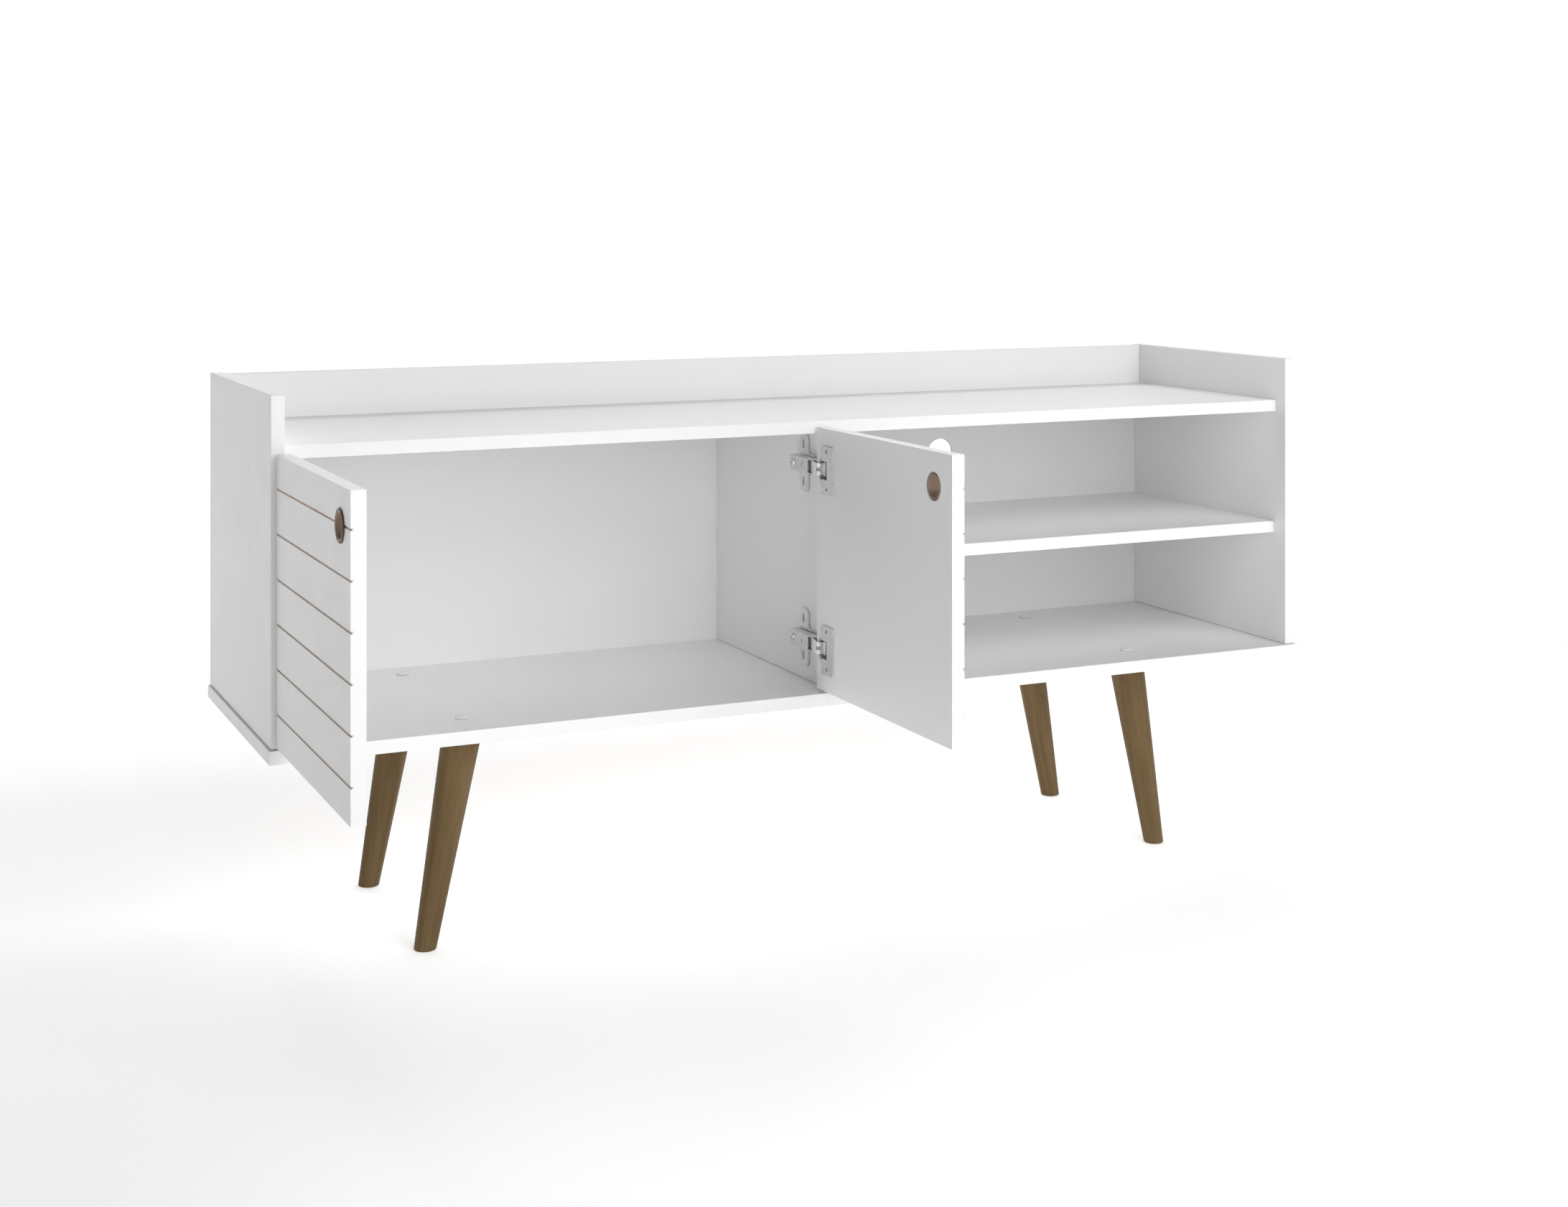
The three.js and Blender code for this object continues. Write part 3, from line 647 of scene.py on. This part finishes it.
def screw_place(side, level, screw):
    """The matrix that puts a screw head on the web of a hinge's arm, facing out of the board."""
    board, out, web_y, z = hinge_start(side, level)
    seat = board + out * (web_height(screw["along"]) + screw["lift"])
    facing = Matrix.Rotation(math.radians(90 * out), 4, "Y")
    turn = Matrix.Rotation(math.radians(screw["turn"]), 4, "Z")
    return Matrix.Translation((seat, web_y + screw["along"], z)) @ facing @ turn


def add_steel_piece(bm, name, smooth_angle, replaces=()):
    """Finishes a small steel part of a hinge that stays on the cabinet."""
    mesh = from_bmesh(bm, name, smooth_angle)
    steel = MATERIAL_OF_SLOT["hinge_screw_steel"]
    piece(name, "cabinet", steel, mesh, replaces)


def add_hinge_screws(side, level):
    """The screw that fixes the arm, in place of the plain one, and the screw that adjusts it."""
    bm = bmesh.new()
    head = screw_place(side, level, PAN_SCREW)
    add_cross_head(bm, head, PAN_SCREW)
    shank = [(PAN_SHANK["radius"], -PAN_SHANK["length"]), (PAN_SHANK["radius"], PAN_SHANK["into_head"])]
    add_lathe(bm, shank, head, sides=20)
    add_steel_piece(bm, f"{side}_{level}_pan_screw", 38, [f"{side}_{level}_hinge_screw"])

    bm = bmesh.new()
    add_cross_head(bm, screw_place(side, level, ADJUSTING_SCREW), ADJUSTING_SCREW)
    add_steel_piece(bm, f"{side}_{level}_adjusting_screw", 38)


def add_rivets(side, level):
    """Two domed rivet heads on each side wall of the arm, at its front ears."""
    board, out, web_y, z = hinge_start(side, level)
    bm = bmesh.new()
    for way in (-1, 1):
        for x, y, radius in RIVETS:
            upright = Matrix.Rotation(0 if way > 0 else math.pi, 4, "X")
            seat = z + way * (ARM["half_height"] - RIVET_SUNK)
            spot = (board + out * x * MM, web_y + y * MM, seat)
            profile = [(share * radius * MM, height * MM) for share, height in RIVET_DOME]
            add_lathe(bm, profile, Matrix.Translation(spot) @ upright, sides=20)
    add_steel_piece(bm, f"{side}_{level}_arm_rivets", 60)


# ------------------------------------------------------------------ nails in the thin back panels
NAIL = {"inset": 4 * MM, "sunk": 0.1 * MM, "columns": 9, "rows": 3, "on_shelf": 5, "sides": 14,
        "profile": ((1.9 * MM, 0.0), (1.9 * MM, 0.3 * MM), (1.5 * MM, 0.48 * MM))}


def nail_spots():
    """X and Z of each nail: round the edges of the thin backs and along the middle shelf."""
    low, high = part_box("left_back_panel")
    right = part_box("right_back_panel")[1].x
    inset = NAIL["inset"]
    bottom, top = low.z + inset, high.z - inset
    spots = []
    for i in range(NAIL["columns"] + 1):
        x = (right - 2 * inset) * i / NAIL["columns"]
        spots += [(way * (x + inset), z) for way in (-1, 1) for z in (bottom, top)]
    for i in range(1, NAIL["rows"] + 1):
        z = bottom + (top - bottom) * i / (NAIL["rows"] + 1)
        spots += [(way * x, z) for way in (-1, 1) for x in (inset, right - inset)]
    shelf_low, shelf_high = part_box("middle_shelf")
    shelf_z = (shelf_low.z + shelf_high.z) / 2
    for i in range(NAIL["on_shelf"]):
        share = (i + 0.5) / NAIL["on_shelf"]
        spots.append((shelf_low.x + (shelf_high.x - shelf_low.x) * share, shelf_z))
    return spots


def add_back_nails():
    """Small flat nail heads in the rear face of the thin backs."""
    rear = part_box("left_back_panel")[1].y
    facing = Matrix.Rotation(math.radians(-90), 4, "X")
    bm = bmesh.new()
    for x, z in nail_spots():
        place = Matrix.Translation((x, rear - NAIL["sunk"], z)) @ facing
        add_lathe(bm, NAIL["profile"], place, sides=NAIL["sides"])
    mesh = from_bmesh(bm, "back_nails", smooth_angle=50)
    piece("back_nails", "cabinet", MATERIAL_OF_SLOT["zinc_fastener"], mesh)


# ------------------------------------------------------------------ dressing the frame
BOARDS = ("base_panel", "left_side_panel", "right_side_panel", "divider_panel", "top_shelf",
          "middle_shelf", "gallery_back_board")
BOARD_EDGE = 0.8 * MM
DOOR_EDGE = 0.45 * MM
BACK_EDGE = 0.2 * MM
HINGE_EDGES = {"cup": 0.0, "arm": 0.2 * MM, "plate": 0.12 * MM, "link": 0.2 * MM}

for entry in frame["record"]["subparts"]:
    node = NODES[entry["node"]]
    slot = entry["material_slot"]
    if slot == "white_door_board":
        material = DOOR_MATERIAL[entry["node"].split("_")[0]]
    else:
        material = MATERIAL_OF_SLOT.get(slot)
    if material is not None:
        node.material_slots[0].material = material

# The side panels keep their triangles: rounding joined faces takes the right one just past its own box.
for name in BOARDS:
    soften(NODES[name], BOARD_EDGE, segments=3, whole_faces=not name.endswith("side_panel"))
for side in SIDES:
    soften(NODES[f"{side}_door_panel"], DOOR_EDGE)
    soften(NODES[f"{side}_back_panel"], BACK_EDGE, segments=1)
    for level in LEVELS:
        for part, width in HINGE_EDGES.items():
            soften(NODES[f"{side}_{level}_hinge_{part}"], width)
        add_hinge_screws(side, level)
        add_rivets(side, level)
for number, corner in enumerate(CORNERS):
    add_leg(corner, number)
    add_bolt_cap(corner)
add_pull("left", -1.0)
add_pull("right", 1.0)
add_back_nails()


# ------------------------------------------------------------------ floor, light and camera
STUDIO = {"half_width": 14.0, "front": -12.0, "rear": 3.2, "curve": 1.2, "top": 3.4, "steps": 10}
# The floor glows faintly as far back as "from", and more beyond it, up to its full glow at "to".
GLOW = {"from": 0.8, "to": 2.6, "faint": 0.34, "full": 0.76}
CAMERA = {"place": (-1.1514, -2.3286, 0.8293), "heading": -24.98, "lens": 49.84, "sensor": 36.0,
          "shift_y": -0.2518, "far": 200.0}


def add_floor():
    """A pale sheet that runs along the floor and curves up into a backdrop behind the stand."""
    steps = STUDIO["steps"]
    curve = STUDIO["curve"]
    section = [(STUDIO["front"], 0.0)]
    for i in range(steps + 1):
        a = 0.5 * math.pi * i / steps
        section.append((STUDIO["rear"] + curve * math.sin(a), curve - curve * math.cos(a)))
    section.append((STUDIO["rear"] + curve, STUDIO["top"]))
    mesh = bpy.data.meshes.new("studio_floor")
    points = [(way * STUDIO["half_width"], y, z) for y, z in section for way in (-1, 1)]
    faces = [(2 * i, 2 * i + 1, 2 * i + 3, 2 * i + 2) for i in range(len(section) - 1)]
    mesh.from_pydata(points, [], faces)
    mesh.shade_smooth()
    floor = bpy.data.objects.new("studio_floor", mesh)
    bpy.context.scene.collection.objects.link(floor)
    look = Look("pale_floor", roughness=0.9)
    look.colour(look.mix(look.noise(0.8), (0.9, 0.9, 0.9), (0.92, 0.92, 0.92)))
    glow = look.span(look.axes()[1], GLOW["from"], GLOW["to"], GLOW["faint"], GLOW["full"])
    look.shader.inputs["Emission Color"].default_value = (1, 1, 1, 1)
    look.link(glow, look.shader.inputs["Emission Strength"])
    mesh.materials.append(look.material)


def add_light(name, place, target, size, power):
    lamp = bpy.data.lights.new(name, "AREA")
    lamp.shape = "RECTANGLE"
    lamp.size, lamp.size_y = size
    lamp.energy = power
    obj = bpy.data.objects.new(name, lamp)
    bpy.context.scene.collection.objects.link(obj)
    obj.location = place
    obj.rotation_euler = (Vector(target) - Vector(place)).to_track_quat("-Z", "Y").to_euler()


def set_world(direction, strength, sharpness):
    """A dark studio with one wide soft glow, strongest in the given direction."""
    world = bpy.data.worlds.new("studio_world")
    bpy.context.scene.world = world
    world.use_nodes = True
    tree = world.node_tree
    background = tree.nodes["Background"]
    background.inputs["Color"].default_value = (1, 1, 1, 1)
    towards = tree.nodes.new("ShaderNodeVectorMath")
    towards.operation = "DOT_PRODUCT"
    towards.inputs[1].default_value = Vector(direction).normalized()
    way = tree.nodes.new("ShaderNodeTexCoord").outputs["Generated"]
    tree.links.new(way, towards.inputs[0])
    level = towards.outputs["Value"]
    for operation, number in (("MAXIMUM", 0.0), ("POWER", sharpness), ("MULTIPLY", strength)):
        step = tree.nodes.new("ShaderNodeMath")
        step.operation = operation
        step.inputs[1].default_value = number
        tree.links.new(level, step.inputs[0])
        level = step.outputs[0]
    tree.links.new(level, background.inputs["Strength"])


def add_camera():
    camera = bpy.data.cameras.new("camera")
    camera.lens = CAMERA["lens"]
    camera.sensor_width = CAMERA["sensor"]
    camera.shift_y = CAMERA["shift_y"]
    camera.clip_end = CAMERA["far"]
    obj = bpy.data.objects.new("camera", camera)
    bpy.context.scene.collection.objects.link(obj)
    obj.location = CAMERA["place"]
    obj.rotation_euler = (math.radians(90), 0.0, math.radians(CAMERA["heading"]))
    bpy.context.scene.camera = obj


# Each softbox: where it stands, what it points at, its width and height, and its power in watts.
SOFTBOXES = {
    "front": ((-0.6, -4.4, 1.3), (0.0, 0.0, 0.4), (3.0, 2.4), 23.0),
    "near_right": ((1.3, -2.0, 1.0), (0.35, 0.0, 0.4), (1.2, 1.0), 7.0),
    "near_left": ((-0.3, -2.1, 0.8), (0.35, 0.0, 0.35), (0.6, 0.8), 6.0),
    "front_high": ((0.3, -3.0, 3.2), (0.0, 0.0, 0.4), (3.4, 2.4), 36.0),
    "near_high": ((0.5, -1.9, 1.75), (0.1, 0.1, 0.35), (1.8, 0.8), 11.0),
    "rear_right": ((3.6, 1.2, 2.2), (0.0, 0.0, 0.4), (2.6, 2.2), 10.0),
    "rear_high": ((0.6, 1.6, 2.6), (0.0, 0.1, 0.5), (3.4, 1.2), 44.0),
}

add_floor()
set_world((-0.55, -1.0, 0.2), strength=0.12, sharpness=4.0)
for name, (place, target, size, power) in SOFTBOXES.items():
    add_light(f"softbox_{name}", place, target, size, power)
add_camera()
bpy.context.scene.view_settings.view_transform = "Standard"
